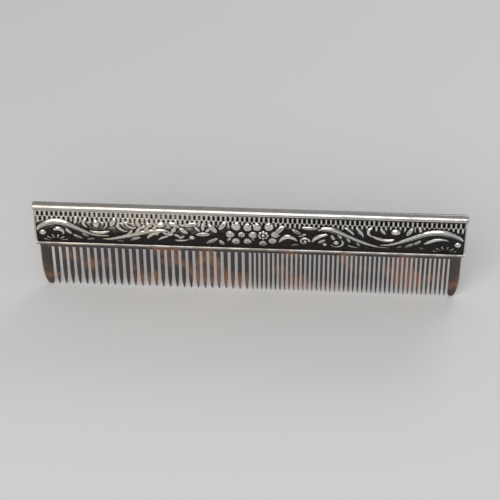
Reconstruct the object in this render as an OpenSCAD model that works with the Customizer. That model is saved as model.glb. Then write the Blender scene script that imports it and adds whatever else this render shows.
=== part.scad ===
// Dressing comb with a hollow metal mount: an embossed sheet on each side, closed by a
// round crest rail, two rim wires and two end caps. The moulded tooth plate is bedded in
// resin inside the mount and held by two riveted pins.
// X runs along the comb, Y through its thickness with the front at -Y, and Z up, away from
// the tooth tips. The origin is the middle of the mouth where the tooth plate leaves the mount.

/* [Mount] */
// Length of the crest rail, the longest piece
comb_l = 176; // [165:1:200]
// Height of the mount, from the rim's underside to the top of the crest
mount_h = 21; // [20:0.5:23]
// Radius of the round crest rail
crest_r = 2.1; // [1.9:0.1:2.3]
// Half of the mount's thickness where the plain sheet bulges most
belly_y = 3.1; // [2.9:0.1:3.4]
// Thickness of the embossed sheet
sheet_t = 0.5; // [0.4:0.05:0.6]
// Thickness of the end caps
cap_t = 0.6; // [0.4:0.1:1]
// How far the crest rail runs past the end caps
crest_overhang = 0.5; // [0.2:0.1:1]

/* [Rim wires] */
// Height of the half-round wire along each lower edge
rim_h = 1.5; // [1.2:0.1:1.8]
// Half of the mount's thickness over the rim wires
rim_y = 2.8; // [2.6:0.1:3]

/* [Tooth plate] */
// Thickness of the moulded plate inside the mount
plate_t = 2.4; // [2:0.1:2.6]
// How far the plate reaches up into the mount
tang_h = 12; // [9:0.5:14]
// Plain band of plate that shows between the mount and the teeth
band_h = 2.5; // [1.5:0.5:4]
// Length of the teeth
tooth_l = 22.5; // [18:0.5:28]
// Thickness of a tooth near its tip
tip_t = 1.2; // [1:0.1:1.6]
// Number of coarse teeth
coarse_n = 28; // [24:1:30]
// Number of fine teeth
fine_n = 43; // [38:1:46]
// Gap between coarse teeth
coarse_gap = 1.15; // [0.9:0.05:1.3]
// Gap between fine teeth
fine_gap = 0.8; // [0.6:0.05:0.9]
// Width of the guard tooth at each end, at its root
guard_w = 4.5; // [3.5:0.5:6]

/* [Pins] */
// Diameter of the two pins that hold the plate in the mount
pin_d = 1.2; // [1:0.1:1.6]
// Diameter of each pin's riveted head
pin_head_d = 2.6; // [2.2:0.1:2.8]

/* [Relief] */
// Height of the embossed ornament over the plain sheet
relief_h = 0.9; // [0.5:0.1:1]

/* [Hidden] */
$fn = 64;

silver = [0.80, 0.79, 0.75];
shell = [0.16, 0.08, 0.04];

half_l = comb_l / 2;
cap_out = half_l - crest_overhang;
cap_in = cap_out - cap_t;
// Play between each end of the tooth plate and its end cap.
end_play = 0.5;
tang_half = cap_in - end_play;
// How far a cutting or trimming shape runs past what it cuts.
past = 1;

// The embossed panels stand between the rim wires and the crest rail.
panel_lo = rim_h;
panel_hi = mount_h - crest_r;
panel_mid = (panel_lo + panel_hi) / 2;
// How far the crest rail stands out over the panels' upper edges.
crest_lip = 0.1;
panel_edge_y = crest_r - crest_lip;
panel_rise = belly_y - panel_edge_y;
panel_half = (panel_hi - panel_lo) / 2;
panel_r = (pow(panel_half, 2) + pow(panel_rise, 2)) / (2 * panel_rise);

// Half-round section of the rim wires.
wire_r = rim_h / 2;
wire_y = rim_y - wire_r;

// Pins and the flat bosses under their heads; pin_s is the distance from the mount's end.
pin_s = 3.7;
pin_z = 7.6;
boss_d = pin_head_d + 0.5;
boss_y = belly_y + 0.15;
head_rise = 0.6;
head_r = pin_head_d / 2;
head_ball_r = (pow(head_r, 2) + pow(head_rise, 2)) / (2 * head_rise);

// Scrolls: the centre of each arc as a distance from the mount's end (s) and a height over the
// rim's underside (z), its radius, and how far it turns to each side of its highest or lowest point.
ridge_r = 0.9;
arch_s = 9.8;
arch_z = 1.1;
arch_r = 12.4;
arch_turn = 44;
trough_s = 33;
trough_z = 29;
trough_r = 23.8;
trough_turn = 36;

// Blossoms in the middle of each panel: [x, z, radius] of each petal or core.
petals = [
    [-3.8, 9.6, 1.7], [-7.9, 9.6, 2.0], [-6.3, 13.7, 2.2], [-1.6, 13.7, 2.2], [0.3, 9.6, 1.6],
    [0.4, 5.0, 2.1], [-5.5, 5.0, 2.0], [4.9, 9.6, 2.7], [3.2, 13.8, 2.1], [7.8, 13.5, 2.2],
    [5.3, 4.4, 1.8], [9.9, 6.0, 2.0], [-10.7, 4.7, 2.0], [10.3, 10.0, 1.5], [-18.8, 9.0, 2.1],
    [-23.6, 6.4, 1.5], [-26.6, 10.8, 1.7], [22.0, 7.2, 2.1], [30.2, 11.0, 1.6], [-31.6, 8.4, 1.5]
];
// Leaves round the blossoms: [x, z, length, width, turn from +X towards +Z].
blossom_leaves = [
    [-11.2, 13.4, 5, 2.4, 150], [-14.8, 10.6, 5.5, 2.4, 120], [-15.2, 5.6, 5, 2.2, 60],
    [13.2, 12.4, 5, 2.4, 60], [15.6, 7.6, 6, 2.6, 100], [26.6, 9.4, 5.5, 2.2, 40],
    [24.0, 13.6, 5, 1.8, 175], [-22.5, 13.4, 5, 1.8, 10], [-29.5, 13.6, 4.5, 1.8, 150]
];
// Buds and leaves beside each scroll, from the mount's end (s), repeated at both ends:
// [s, z, radius] and [s, z, length, width, turn]. The last two buds hide the scroll's joints.
buds = [
    [26, 12.4, 1.7], [52, 12.7, 1.8], [51.8, 8.4, 2.0], [56.6, 9.6, 1.7],
    [18.6, 9.9, 1.7], [47.6, 9.9, 1.7]
];
scroll_leaves = [
    [10.6, 8.6, 4.6, 1.9, 135], [20.8, 13.2, 5.2, 1.7, 105], [31.5, 13.8, 5, 1.8, 10],
    [36.6, 10.8, 5, 2.0, 60], [29.4, 9.3, 5, 1.8, 165], [46.6, 14.2, 5, 1.8, 160],
    [56.5, 5.4, 5, 2.0, 30], [6.2, 4.6, 3.6, 1.1, 25], [9.4, 4.4, 4, 1.1, 75], [12.8, 5.0, 4, 1.1, 120]
];
// Leaves stand a little lower than the blossoms and scrolls.
leaf_h = relief_h * 0.6;

// Tooth plate: the teeth share what the guard teeth leave, half of it coarse and half fine.
guard_in = tang_half - guard_w;
teeth_l = 2 * guard_in - (coarse_gap + fine_gap) / 2;
teeth_x = -guard_in + coarse_gap / 2;
coarse_pitch = teeth_l / 2 / coarse_n;
fine_pitch = teeth_l / 2 / fine_n;
// Length over which a tooth draws in to its rounded point, and the point's radius.
taper_l = 6;
point_r = 0.3;
// Length of the chamfer that thins a tooth at its point, seen from the side.
chamfer_l = 1.5;
// The guard tooth's outer edge sweeps in over this length, to this part of its width.
sweep_l = 13;
guard_tip = 0.32;

// Half thickness of the plain sheet at height z.
function ground_y(z) = sqrt(pow(panel_r, 2) - pow(z - panel_mid, 2)) - panel_r + belly_y;

// A long round bar along X, centred on y and z.
module bar_x(r, l, y, z) {
    translate([-l / 2, y, z]) rotate([0, 90, 0]) cylinder(r = r, h = l);
}

// A dome that rises rise over the sheet at x, z, with radius r where it meets it.
module dome(x, z, r, rise) {
    ball_r = (r * r + rise * rise) / (2 * rise);
    translate([x, -(ground_y(z) + rise - ball_r), z]) sphere(r = ball_r);
}

// A round ridge along an arc about x, z, which turns to both sides of the angle middle.
module ridge(x, z, r, middle, turn) {
    middle_z = z + r * sin(middle);
    translate([x, ridge_r - relief_h - ground_y(middle_z), z])
        rotate([90, 0, 0])
            rotate([0, 0, middle - turn])
                rotate_extrude(angle = 2 * turn) translate([r, 0]) circle(r = ridge_r);
}

// The upright prism of one leaf: two arcs that meet in a point at both ends.
module leaf(x, z, l, w, turn) {
    leaf_r = (l * l + w * w) / (4 * w);
    translate([x, 0, z])
        rotate([90, 0, 0])
            rotate([0, 0, turn])
                linear_extrude(height = 2 * belly_y)
                    intersection() {
                        translate([0, leaf_r - w / 2]) circle(r = leaf_r);
                        translate([0, w / 2 - leaf_r]) circle(r = leaf_r);
                    }
}

module leaf_prisms() {
    for (p = blossom_leaves) leaf(p[0], p[1], p[2], p[3], p[4]);
    for (side = [0, 1])
        mirror([side, 0, 0])
            for (p = scroll_leaves) leaf(half_l - p[0], p[1], p[2], p[3], p[4]);
}

module leaves() {
    intersection() {
        belly(panel_r + leaf_h);
        leaf_prisms();
    }
}

// An arch at the mount's end that runs on into a trough, drawn for the +X end.
module scroll() {
    ridge(half_l - arch_s, arch_z, arch_r, 90, arch_turn);
    ridge(half_l - trough_s, trough_z, trough_r, 270, trough_turn);
    for (b = buds) dome(half_l - b[0], b[1], b[2], relief_h);
}

// The round body whose front makes the bulge of the front sheet.
module belly(r, l = 2 * cap_in) {
    translate([0, panel_r - belly_y, 0]) bar_x(r, l, 0, panel_mid, $fn = 360);
}

// One embossed sheet, drawn as the front one.
module panel() {
    difference() {
        intersection() {
            union() {
                belly(panel_r);
                scroll();
                mirror([1, 0, 0]) scroll();
                leaves();
                for (p = petals) dome(p[0], p[1], p[2], relief_h);
                for (side = [-1, 1])
                    translate([side * (half_l - pin_s), 0, pin_z])
                        rotate([90, 0, 0]) cylinder(d = boss_d, h = boss_y);
            }
            translate([-cap_in, -belly_y - past, panel_lo])
                cube([2 * cap_in, belly_y + past, panel_hi - panel_lo]);
        }
        belly(panel_r - sheet_t);
        pin_bores();
    }
}

module pin_bores() {
    for (side = [-1, 1])
        translate([side * (half_l - pin_s), 0, pin_z])
            rotate([90, 0, 0]) cylinder(d = pin_d, h = 2 * (belly_y + past), center = true);
}

module front_panel() {
    color(silver) panel();
}

module back_panel() {
    color(silver) mirror([0, 1, 0]) panel();
}

module crest_rail() {
    color(silver)
        intersection() {
            bar_x(crest_r, comb_l, 0, panel_hi);
            translate([-half_l, -crest_r, panel_hi]) cube([comb_l, 2 * crest_r, crest_r]);
        }
}

// Half-round wire: flat below, flat against the tooth plate, round outside.
module rim_wire() {
    bar_x(wire_r, 2 * cap_in, -wire_y, wire_r);
    translate([-cap_in, -wire_y, 0]) cube([2 * cap_in, wire_y - plate_t / 2, rim_h]);
}

module front_rim_wire() {
    color(silver) rim_wire();
}

module back_rim_wire() {
    color(silver) mirror([0, 1, 0]) rim_wire();
}

// Closes one end: the section of both panels and both rim wires.
module end_cap(side) {
    low_x = side > 0 ? cap_in : -cap_out;
    intersection() {
        union() {
            intersection() {
                belly(panel_r, comb_l);
                mirror([0, 1, 0]) belly(panel_r, comb_l);
            }
            for (face = [-1, 1]) bar_x(wire_r, comb_l, face * wire_y, wire_r);
            translate([-half_l, -wire_y, 0]) cube([comb_l, 2 * wire_y, rim_h]);
        }
        translate([low_x, -belly_y - past, 0]) cube([cap_t, 2 * (belly_y + past), panel_hi]);
    }
}

module left_end_cap() {
    color(silver) end_cap(-1);
}

module right_end_cap() {
    color(silver) end_cap(1);
}

// Fills the mount round the tang, and backs the thin sheet up.
module resin_bed() {
    color([0.35, 0.27, 0.18])
        difference() {
            intersection() {
                belly(panel_r - sheet_t);
                mirror([0, 1, 0]) belly(panel_r - sheet_t);
                translate([-cap_in, -belly_y, panel_lo])
                    cube([2 * cap_in, 2 * belly_y, panel_hi - panel_lo]);
            }
            tang_block();
            pin_bores();
        }
}

// The domed head that stands on the front panel's boss.
module rivet_head() {
    intersection() {
        translate([0, -(boss_y + head_rise - head_ball_r), 0]) sphere(r = head_ball_r);
        translate([-head_r - past, -boss_y - head_rise - past, -head_r - past])
            cube([2 * (head_r + past), head_rise + past, 2 * (head_r + past)]);
    }
}

// Shanks right through, with a head on the boss of each panel.
module fixing_pins() {
    color(silver)
        for (side = [-1, 1])
            translate([side * (half_l - pin_s), 0, pin_z]) {
                rotate([90, 0, 0]) cylinder(d = pin_d, h = 2 * boss_y, center = true);
                rivet_head();
                mirror([0, 1, 0]) rivet_head();
            }
}

module tang_block() {
    translate([-tang_half, -plate_t / 2, -band_h]) cube([2 * tang_half, plate_t, band_h + tang_h]);
}

module plate_tang() {
    color(shell)
        difference() {
            tang_block();
            pin_bores();
        }
}

// The teeth's side view: thick at the root, thin at the tip, with a blunt chamfered end.
tooth_side = [
    [-plate_t / 2, 0], [-tip_t / 2, chamfer_l - tooth_l], [-tip_t / 4, -tooth_l],
    [tip_t / 4, -tooth_l], [tip_t / 2, chamfer_l - tooth_l], [plate_t / 2, 0]
];

// One tooth hanging from its root at z = 0, cut from its front view outline.
module tooth(outline) {
    reach = 2 * max([for (p = outline) abs(p[0])]) + past;
    intersection() {
        rotate([90, 0, 0]) linear_extrude(height = plate_t, center = true) polygon(outline);
        rotate([90, 0, 90]) linear_extrude(height = reach, center = true) polygon(tooth_side);
    }
}

// A tooth of width w: straight for most of its length, then drawn in to a rounded point.
function tooth_outline(w) = concat(
    [[-w / 2, 0], [-w / 2, taper_l - tooth_l]],
    [for (a = [180:45:360]) [point_r * cos(a), point_r - tooth_l + point_r * sin(a)]],
    [[w / 2, taper_l - tooth_l], [w / 2, 0]]
);

// The guard tooth's straight inner edge, and an outer edge that sweeps in on an elliptic arc.
guard_outline = concat(
    [[0, -tooth_l], [0, 0], [guard_w, 0]],
    [for (a = [0:15:90]) [
        guard_w * (guard_tip + (1 - guard_tip) * cos(a)), sweep_l - tooth_l - sweep_l * sin(a)
    ]]
);

module guard_teeth() {
    color(shell)
        for (side = [0, 1])
            mirror([side, 0, 0]) translate([guard_in, 0, -band_h]) tooth(guard_outline);
}

module coarse_teeth() {
    color(shell)
        for (i = [0:coarse_n - 1])
            translate([teeth_x + (i + 0.5) * coarse_pitch, 0, -band_h])
                tooth(tooth_outline(coarse_pitch - coarse_gap));
}

module fine_teeth() {
    color(shell)
        for (i = [0:fine_n - 1])
            translate([teeth_x + teeth_l / 2 + (i + 0.5) * fine_pitch, 0, -band_h])
                tooth(tooth_outline(fine_pitch - fine_gap));
}

front_panel();
back_panel();
crest_rail();
front_rim_wire();
back_rim_wire();
left_end_cap();
right_end_cap();
resin_bed();
fixing_pins();
plate_tang();
guard_teeth();
coarse_teeth();
fine_teeth();
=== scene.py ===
import math

import bmesh
import bpy
import numpy as np
from mathutils import Matrix, Vector


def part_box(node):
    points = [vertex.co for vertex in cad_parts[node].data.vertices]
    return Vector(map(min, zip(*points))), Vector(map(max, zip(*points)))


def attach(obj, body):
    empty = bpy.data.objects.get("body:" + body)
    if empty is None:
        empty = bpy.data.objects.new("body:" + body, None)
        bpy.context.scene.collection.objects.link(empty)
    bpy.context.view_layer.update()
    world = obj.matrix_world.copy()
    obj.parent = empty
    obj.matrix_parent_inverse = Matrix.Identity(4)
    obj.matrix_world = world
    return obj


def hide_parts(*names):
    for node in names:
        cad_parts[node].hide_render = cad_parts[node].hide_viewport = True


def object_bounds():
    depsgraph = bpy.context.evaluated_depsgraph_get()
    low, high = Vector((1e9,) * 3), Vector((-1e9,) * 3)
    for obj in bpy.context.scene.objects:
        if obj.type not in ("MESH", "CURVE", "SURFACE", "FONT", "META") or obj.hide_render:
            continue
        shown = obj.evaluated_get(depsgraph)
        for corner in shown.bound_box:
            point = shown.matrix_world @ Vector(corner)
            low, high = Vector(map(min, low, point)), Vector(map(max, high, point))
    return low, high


# A dressing comb: embossed silver panels, crest rail, rim wires, end caps and pins over a
# moulded tooth plate. Shapes are worked out in millimetres in the CAD frame and stored in metres.
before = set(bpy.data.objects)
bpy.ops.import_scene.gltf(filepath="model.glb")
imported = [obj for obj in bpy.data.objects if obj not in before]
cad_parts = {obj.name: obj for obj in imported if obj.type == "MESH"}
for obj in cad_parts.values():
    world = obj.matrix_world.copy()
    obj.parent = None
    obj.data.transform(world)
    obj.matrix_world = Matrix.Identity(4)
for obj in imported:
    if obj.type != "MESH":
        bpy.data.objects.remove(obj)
cad_low, cad_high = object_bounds()
MM = 0.001


def box_mm(node):
    """Lowest and highest corner of a CAD node, in millimetres."""
    low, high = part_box(node)
    return np.array(low) / MM, np.array(high) / MM


panel_low, panel_high = box_mm("front_panel")
rail_low, rail_high = box_mm("crest_rail")
rim_low, rim_high = box_mm("front_rim_wire")
cap_low, cap_high = box_mm("right_end_cap")
tang_low, tang_high = box_mm("plate_tang")
coarse_low, coarse_high = box_mm("coarse_teeth")
fine_low, fine_high = box_mm("fine_teeth")
guard_high = box_mm("guard_teeth")[1]
pins_low, pins_high = box_mm("fixing_pins")

# Thickness of the embossed sheet, and half the mount's at mid height and at the sheets' edges.
SHEET = 0.5
BELLY_Y = 3.1
EDGE_Y = 2.0
PANEL_MID = (panel_low[2] + panel_high[2]) / 2
PANEL_HALF = (panel_high[2] - panel_low[2]) / 2
PANEL_R = (PANEL_HALF**2 + (BELLY_Y - EDGE_Y) ** 2) / (2 * (BELLY_Y - EDGE_Y))


def ground_y(z):
    """Half thickness of the plain sheet at height z."""
    return np.sqrt(PANEL_R**2 - (z - PANEL_MID) ** 2) - PANEL_R + BELLY_Y


def add_mesh(name, points, faces, smooth=True):
    """A mesh object from points in millimetres."""
    mesh = bpy.data.meshes.new(name)
    mesh.from_pydata((np.asarray(points, float) * MM).tolist(), [], faces)
    mesh.update()
    mesh.polygons.foreach_set("use_smooth", np.full(len(mesh.polygons), smooth))
    piece = bpy.data.objects.new(name, mesh)
    bpy.context.scene.collection.objects.link(piece)
    return piece


def place(piece, material, slot, *nodes):
    """Gives a piece its material, and lets it stand for CAD nodes."""
    piece.data.materials.append(material)
    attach(piece, "root")
    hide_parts(*nodes)


# ---------------------------------------------------------------- relief of the panels
# Cells of the grid that each sheet's outside is worked out on, and how many lie from tick to tick.
COLUMNS = 810
ROWS = 116
TICK_COLUMNS = 9
# The ornament stands RELIEF high where the lists below give it a height of TALLEST.
RELIEF = 0.9
TALLEST = 0.78
# A strand is stamped point by point: points per row of its list, half the length of a stamp, and
# the least half width.
STAMPS = 60
STAMP_HALF = 0.14
THINNEST = 0.1
# Distance between the side veins of a leaf.
VEIN_PITCH = 1.15
# Leaflets on a scroll: length and what each loses to the one before it, width, height and bend, turn
# away from the scroll and what each adds to it, in degrees.
FROND_LENGTH, FROND_LOSS = 4.0, 0.25
FROND_WIDTH, FROND_H, FROND_BEND = 1.9, 0.52, 0.12
FROND_TURN, FROND_SPREAD = 38, 4
# Middle of a blossom: number of seeds, and heights of the seeds and of the dome that they go round.
SEEDS, SEED_H, MIDDLE_H = 8, 0.58, 0.74
# How far a shell fan's flutes spread in x and z.
FAN_SPREAD = (4.9, 3.9)

xs = np.linspace(panel_low[0], panel_high[0], COLUMNS + 1)
zs = np.linspace(panel_low[2], panel_high[2], ROWS + 1)
X, Z = np.meshgrid(xs, zs, indexing="ij")


def smoothstep(value, low, high):
    """Rises smoothly from 0 at low to 1 at high."""
    t = np.clip((value - low) / (high - low), 0, 1)
    return t * t * (3 - 2 * t)


def groove(offset, width):
    """1 along a line and falling off to each side of it."""
    return np.exp(-((offset / width) ** 2))


def crowned(q):
    """A full round section from 1 in the middle to 0 where q, the squared offset, is 1."""
    return np.clip(1 - q, 0, 1) ** 0.95


def rounded(s):
    """The section of a plain strand; s runs from -1 to 1 across it."""
    return crowned(s * s)


def fluted(s):
    """A broad lobe above a narrow one, with a groove cut between them."""
    return crowned(s * s) * (1 - 0.55 * groove(s + 0.34, 0.2))


def turned(x, z, reach, turn):
    """The part of the grid near a point, and its places along and across a turned axis there."""
    i = np.searchsorted(xs, [x - reach, x + reach])
    j = np.searchsorted(zs, [z - reach, z + reach])
    w = slice(i[0], i[1]), slice(j[0], j[1])
    c, s = math.cos(turn), math.sin(turn)
    return w, (X[w] - x) * c + (Z[w] - z) * s, (Z[w] - z) * c - (X[w] - x) * s


def raise_to(field, w, body):
    """Raises part of the field to a body, where the body is higher."""
    field[w] = np.maximum(field[w], body)


def spline(rows, count):
    """Rows read off the smooth curve through the given rows."""
    rows = np.asarray(rows, float)
    padded = np.vstack([2 * rows[0] - rows[1], rows, 2 * rows[-1] - rows[-2]])
    t = np.linspace(0, len(rows) - 1 - 1e-9, count)
    i = t.astype(int)
    f = (t - i)[:, None]
    a, b, c, d = padded[i], padded[i + 1], padded[i + 2], padded[i + 3]
    return b + 0.5 * f * (c - a + f * (2 * a - 5 * b + 4 * c - d + f * (3 * (b - c) + d - a)))


def sweep(field, rows, section=rounded):
    """Sweeps a section along a curve; each row is x, z, half width and height."""
    path = spline(rows, STAMPS * len(rows))
    turns = np.arctan2(np.gradient(path[:, 1]), np.gradient(path[:, 0]))
    for (x, z, r, h), turn in zip(path, turns):
        r = max(r, THINNEST)
        w, along, across = turned(x, z, r + 0.2, turn)
        raise_to(field, w, np.where(np.abs(along) < STAMP_HALF, h * section(across / r), 0))


def dome(field, x, z, long_r, wide_r, turn, h):
    """A plain oval boss."""
    w, along, across = turned(x, z, max(long_r, wide_r) + 0.1, math.radians(turn))
    raise_to(field, w, h * crowned((along / long_r) ** 2 + (across / wide_r) ** 2))


def petal(field, x, z, long_r, wide_r, turn, h):
    """A full petal with a notch in its outer end and furrows that run in from its edge."""
    w, along, across = turned(x, z, max(long_r, wide_r) + 0.1, math.radians(turn))
    u, v = along / long_r, across / wide_r
    notch = 0.7 * groove(v, 0.22) * np.clip(u - 0.35, 0, 1)
    side_furrow = groove(np.abs(v) - 0.34 - 0.25 * np.clip(u, 0, 1), 0.14)
    furrows = np.clip(groove(v, 0.15) + 0.8 * side_furrow, 0, 1) * smoothstep(u, -0.9, -0.1)
    raise_to(field, w, h * crowned(u**2 + v**2 + notch) * (1 - 0.46 * furrows))


def leaf(field, x, z, length, width, turn, h, bend):
    """A pointed leaf with a midrib, side veins and a lobed edge; bend curves it sideways."""
    w, along, across = turned(x, z, length / 2 + abs(bend) * length + 0.3, math.radians(turn))
    a = 2 * along / length
    across = across + bend * length * (a**2 - 0.5) / 2
    lobes = np.cos(2 * math.pi * (along - 0.8 * np.abs(across)) / VEIN_PITCH)
    half = width / 2 * np.clip(1 - a**2, 0, None) ** 0.7 * (1 + 0.05 * lobes)
    inside = half > 0.02
    q = np.where(inside, np.abs(across) / np.where(inside, half, 1), 2)
    midrib = 1 - 0.5 * groove(across, 0.22)
    body = h * crowned(q**2) * (1 + 0.09 * lobes) * midrib * (1 - 0.3 * a**2)
    raise_to(field, w, np.where(inside, body, 0))


def fronds(field, rows, start, end, count, side):
    """Leaflets that grow forward from one side of a scroll, between two parts of its length."""
    path = spline(rows, 200)
    turns = np.arctan2(np.gradient(path[:, 1]), np.gradient(path[:, 0]))
    for i, part in enumerate(np.linspace(start, end, count)):
        at = int(part * (len(path) - 1))
        x, z, r, _ = path[at]
        length = FROND_LENGTH - FROND_LOSS * i
        turn = turns[at] + side * math.radians(FROND_TURN + FROND_SPREAD * i)
        out = 0.75 * r + 0.36 * length
        middle = (x + out * math.cos(turn), z + out * math.sin(turn))
        leaf(field, *middle, length, FROND_WIDTH, math.degrees(turn), FROND_H, -FROND_BEND * side)


def seeded_core(field, x, z, core):
    """The middle of a blossom: a ring of seeds round a small dome."""
    ring_r, seed_r, middle_r = 0.68 * core, 0.34 * core, 0.42 * core
    for a in np.linspace(0, 2 * math.pi, SEEDS, endpoint=False):
        dome(field, x + ring_r * math.cos(a), z + ring_r * math.sin(a), seed_r, seed_r, 0, SEED_H)
    dome(field, x, z, middle_r, middle_r, 0, MIDDLE_H)


def shell_fan(field, x, z):
    """Six flutes that spread from a root near the lower edge."""
    for a in np.radians(np.arange(15, 180, 30)):
        dx, dz = FAN_SPREAD[0] * math.cos(a), FAN_SPREAD[1] * math.sin(a)
        middle = (x + 0.55 * dx, z + 0.55 * dz, 0.42, 0.24)
        sweep(field, [(x, z, 0.2, 0.1), middle, (x + dx, z + dz, 0.55, 0.32)])


def soften(field, passes):
    """Blurs the field a little more with each pass."""
    for _ in range(passes):
        for axis in (0, 1):
            padded = np.pad(field, [(1, 1) if k == axis else (0, 0) for k in (0, 1)], mode="edge")
            n = field.shape[axis]
            before, after = padded.take(range(n), axis), padded.take(range(2, n + 2), axis)
            field = 0.25 * before + 0.5 * field + 0.25 * after
    return field


# Scrolls, from the ends inward: x, z, half width and height at each point.
LEFT_ARCH = [
    (-86.6, 8.6, 0.5, 0.25), (-85.9, 10.4, 1.1, 0.6), (-83.3, 12.3, 1.4, 0.72), (-79.2, 13.7, 1.55, 0.78),
    (-75.4, 13.2, 1.5, 0.78), (-72.2, 11.8, 1.35, 0.72), (-69.0, 9.9, 1.2, 0.66), (-65.2, 7.9, 1.05, 0.6),
    (-61.3, 6.8, 0.9, 0.5), (-57.4, 6.5, 0.4, 0.25)
]
LEFT_TROUGH = [
    (-60.2, 4.5, 0.4, 0.2), (-56.8, 4.6, 1.0, 0.55), (-52.7, 5.7, 1.2, 0.6), (-48.6, 7.2, 1.3, 0.64),
    (-44.5, 8.8, 1.3, 0.66), (-40.6, 9.9, 1.25, 0.66), (-37.0, 10.5, 1.3, 0.7), (-34.2, 10.4, 0.95, 0.5),
    (-32.0, 9.6, 0.4, 0.25)
]
RIGHT_ARCH = [
    (52.6, 5.9, 0.4, 0.25), (56.6, 6.4, 0.9, 0.5), (60.6, 8.0, 1.1, 0.6), (66.7, 11.2, 1.35, 0.7),
    (71.0, 13.2, 1.45, 0.76), (76.0, 14.0, 1.55, 0.78), (80.6, 13.4, 1.45, 0.74), (84.2, 11.9, 1.2, 0.64),
    (86.3, 10.0, 0.6, 0.35)
]
RIGHT_TROUGH = [
    (27.8, 13.2, 0.4, 0.25), (30.2, 14.1, 1.2, 0.68), (33.2, 13.8, 1.4, 0.7), (36.4, 12.4, 1.3, 0.66),
    (40.4, 10.3, 1.25, 0.64), (44.4, 8.1, 1.15, 0.6), (48.4, 6.2, 1.1, 0.56), (52.2, 5.0, 0.95, 0.5),
    (56.8, 4.4, 0.4, 0.25)
]
SCROLLS = [LEFT_ARCH, LEFT_TROUGH, RIGHT_ARCH, RIGHT_TROUGH]

# Smaller strands and hooked leaves, in the same form.
STRANDS = [
    [(-79.6, 9.3, 0.8, 0.5), (-78.0, 10.0, 1.2, 0.7), (-76.4, 9.2, 1.05, 0.64), (-75.8, 7.7, 0.6, 0.4),
     (-76.3, 6.5, 0.3, 0.2)],
    [(-66.2, 15.5, 0.3, 0.2), (-67.3, 14.2, 0.8, 0.5), (-67.2, 12.5, 0.8, 0.5), (-66.0, 11.1, 0.3, 0.25)],
    [(-58.9, 14.9, 0.3, 0.2), (-58.0, 13.6, 0.6, 0.42), (-58.2, 12.0, 0.6, 0.42), (-59.2, 10.9, 0.3, 0.2)],
    [(-65.0, 9.4, 0.4, 0.25), (-62.8, 8.5, 0.85, 0.45), (-59.6, 8.4, 0.95, 0.5), (-57.0, 9.3, 0.4, 0.3)],
    [(-53.2, 13.6, 0.35, 0.25), (-53.4, 12.2, 0.9, 0.5), (-52.2, 10.7, 0.95, 0.55), (-50.6, 9.7, 0.55, 0.4),
     (-49.4, 9.6, 0.25, 0.2)],
    [(-50.2, 14.2, 0.3, 0.2), (-49.6, 12.7, 0.75, 0.45), (-47.8, 11.6, 0.7, 0.45), (-46.2, 11.4, 0.25, 0.2)],
    [(-41.6, 5.6, 0.35, 0.25), (-40.6, 7.4, 0.95, 0.55), (-38.8, 9.0, 1.1, 0.62), (-36.6, 9.9, 0.9, 0.6)],
    [(-37.2, 5.0, 0.3, 0.2), (-35.6, 6.4, 0.8, 0.48), (-33.2, 7.6, 0.75, 0.48)],
    [(-30.4, 5.2, 0.3, 0.2), (-28.6, 5.0, 0.7, 0.4), (-26.2, 5.2, 0.5, 0.35), (-24.6, 5.9, 0.3, 0.25)],
    [(12.0, 5.9, 0.4, 0.25), (13.2, 8.0, 1.1, 0.6), (15.4, 9.4, 1.4, 0.72), (17.8, 8.6, 1.05, 0.55),
     (19.3, 7.0, 0.4, 0.25)],
    [(25.4, 6.8, 0.45, 0.3), (26.6, 8.8, 1.1, 0.66), (28.6, 10.3, 1.15, 0.64), (31.4, 11.3, 0.7, 0.45)],
    [(37.4, 8.2, 0.35, 0.25), (37.9, 6.4, 0.65, 0.45), (36.6, 4.7, 0.7, 0.45), (34.4, 4.3, 0.55, 0.36),
     (33.0, 5.3, 0.3, 0.25)],
    [(39.6, 5.6, 0.3, 0.2), (41.4, 4.6, 0.65, 0.35), (44.0, 4.1, 0.4, 0.25)],
    [(49.4, 15.3, 0.3, 0.2), (48.1, 14.0, 0.85, 0.5), (48.2, 12.3, 0.85, 0.5), (49.6, 10.9, 0.4, 0.3)],
    [(49.6, 11.2, 0.4, 0.3), (51.8, 10.0, 0.9, 0.5), (54.6, 9.2, 0.95, 0.6), (57.2, 9.2, 1.0, 0.66),
     (58.6, 9.8, 0.4, 0.3)],
    [(38.4, 14.9, 0.3, 0.2), (39.8, 14.2, 0.7, 0.42), (41.4, 12.7, 0.65, 0.4), (42.2, 11.4, 0.25, 0.2)],
    [(43.0, 15.0, 0.3, 0.2), (44.4, 13.8, 0.75, 0.45), (45.6, 12.0, 0.7, 0.4), (45.9, 10.3, 0.25, 0.2)],
    [(70.6, 7.6, 0.4, 0.25), (72.6, 8.9, 1.0, 0.58), (75.4, 10.2, 1.0, 0.58), (78.6, 10.4, 0.65, 0.4),
     (80.6, 9.6, 0.3, 0.2)],
]

# Two blossoms: x and z of the core, its radius, how far out the petals stand and where, in degrees.
BLOSSOMS = [
    (-3.2, 9.7, 1.5, 4.7, (0, 57, 118, 180, 240, 303)),
    (5.6, 9.7, 2.5, 5.0, (8, 62, 122, 268, 320)),
]
# Half length, half width and height of a petal.
PETAL_R = (2.15, 2.0)
PETAL_H = 0.76
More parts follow.
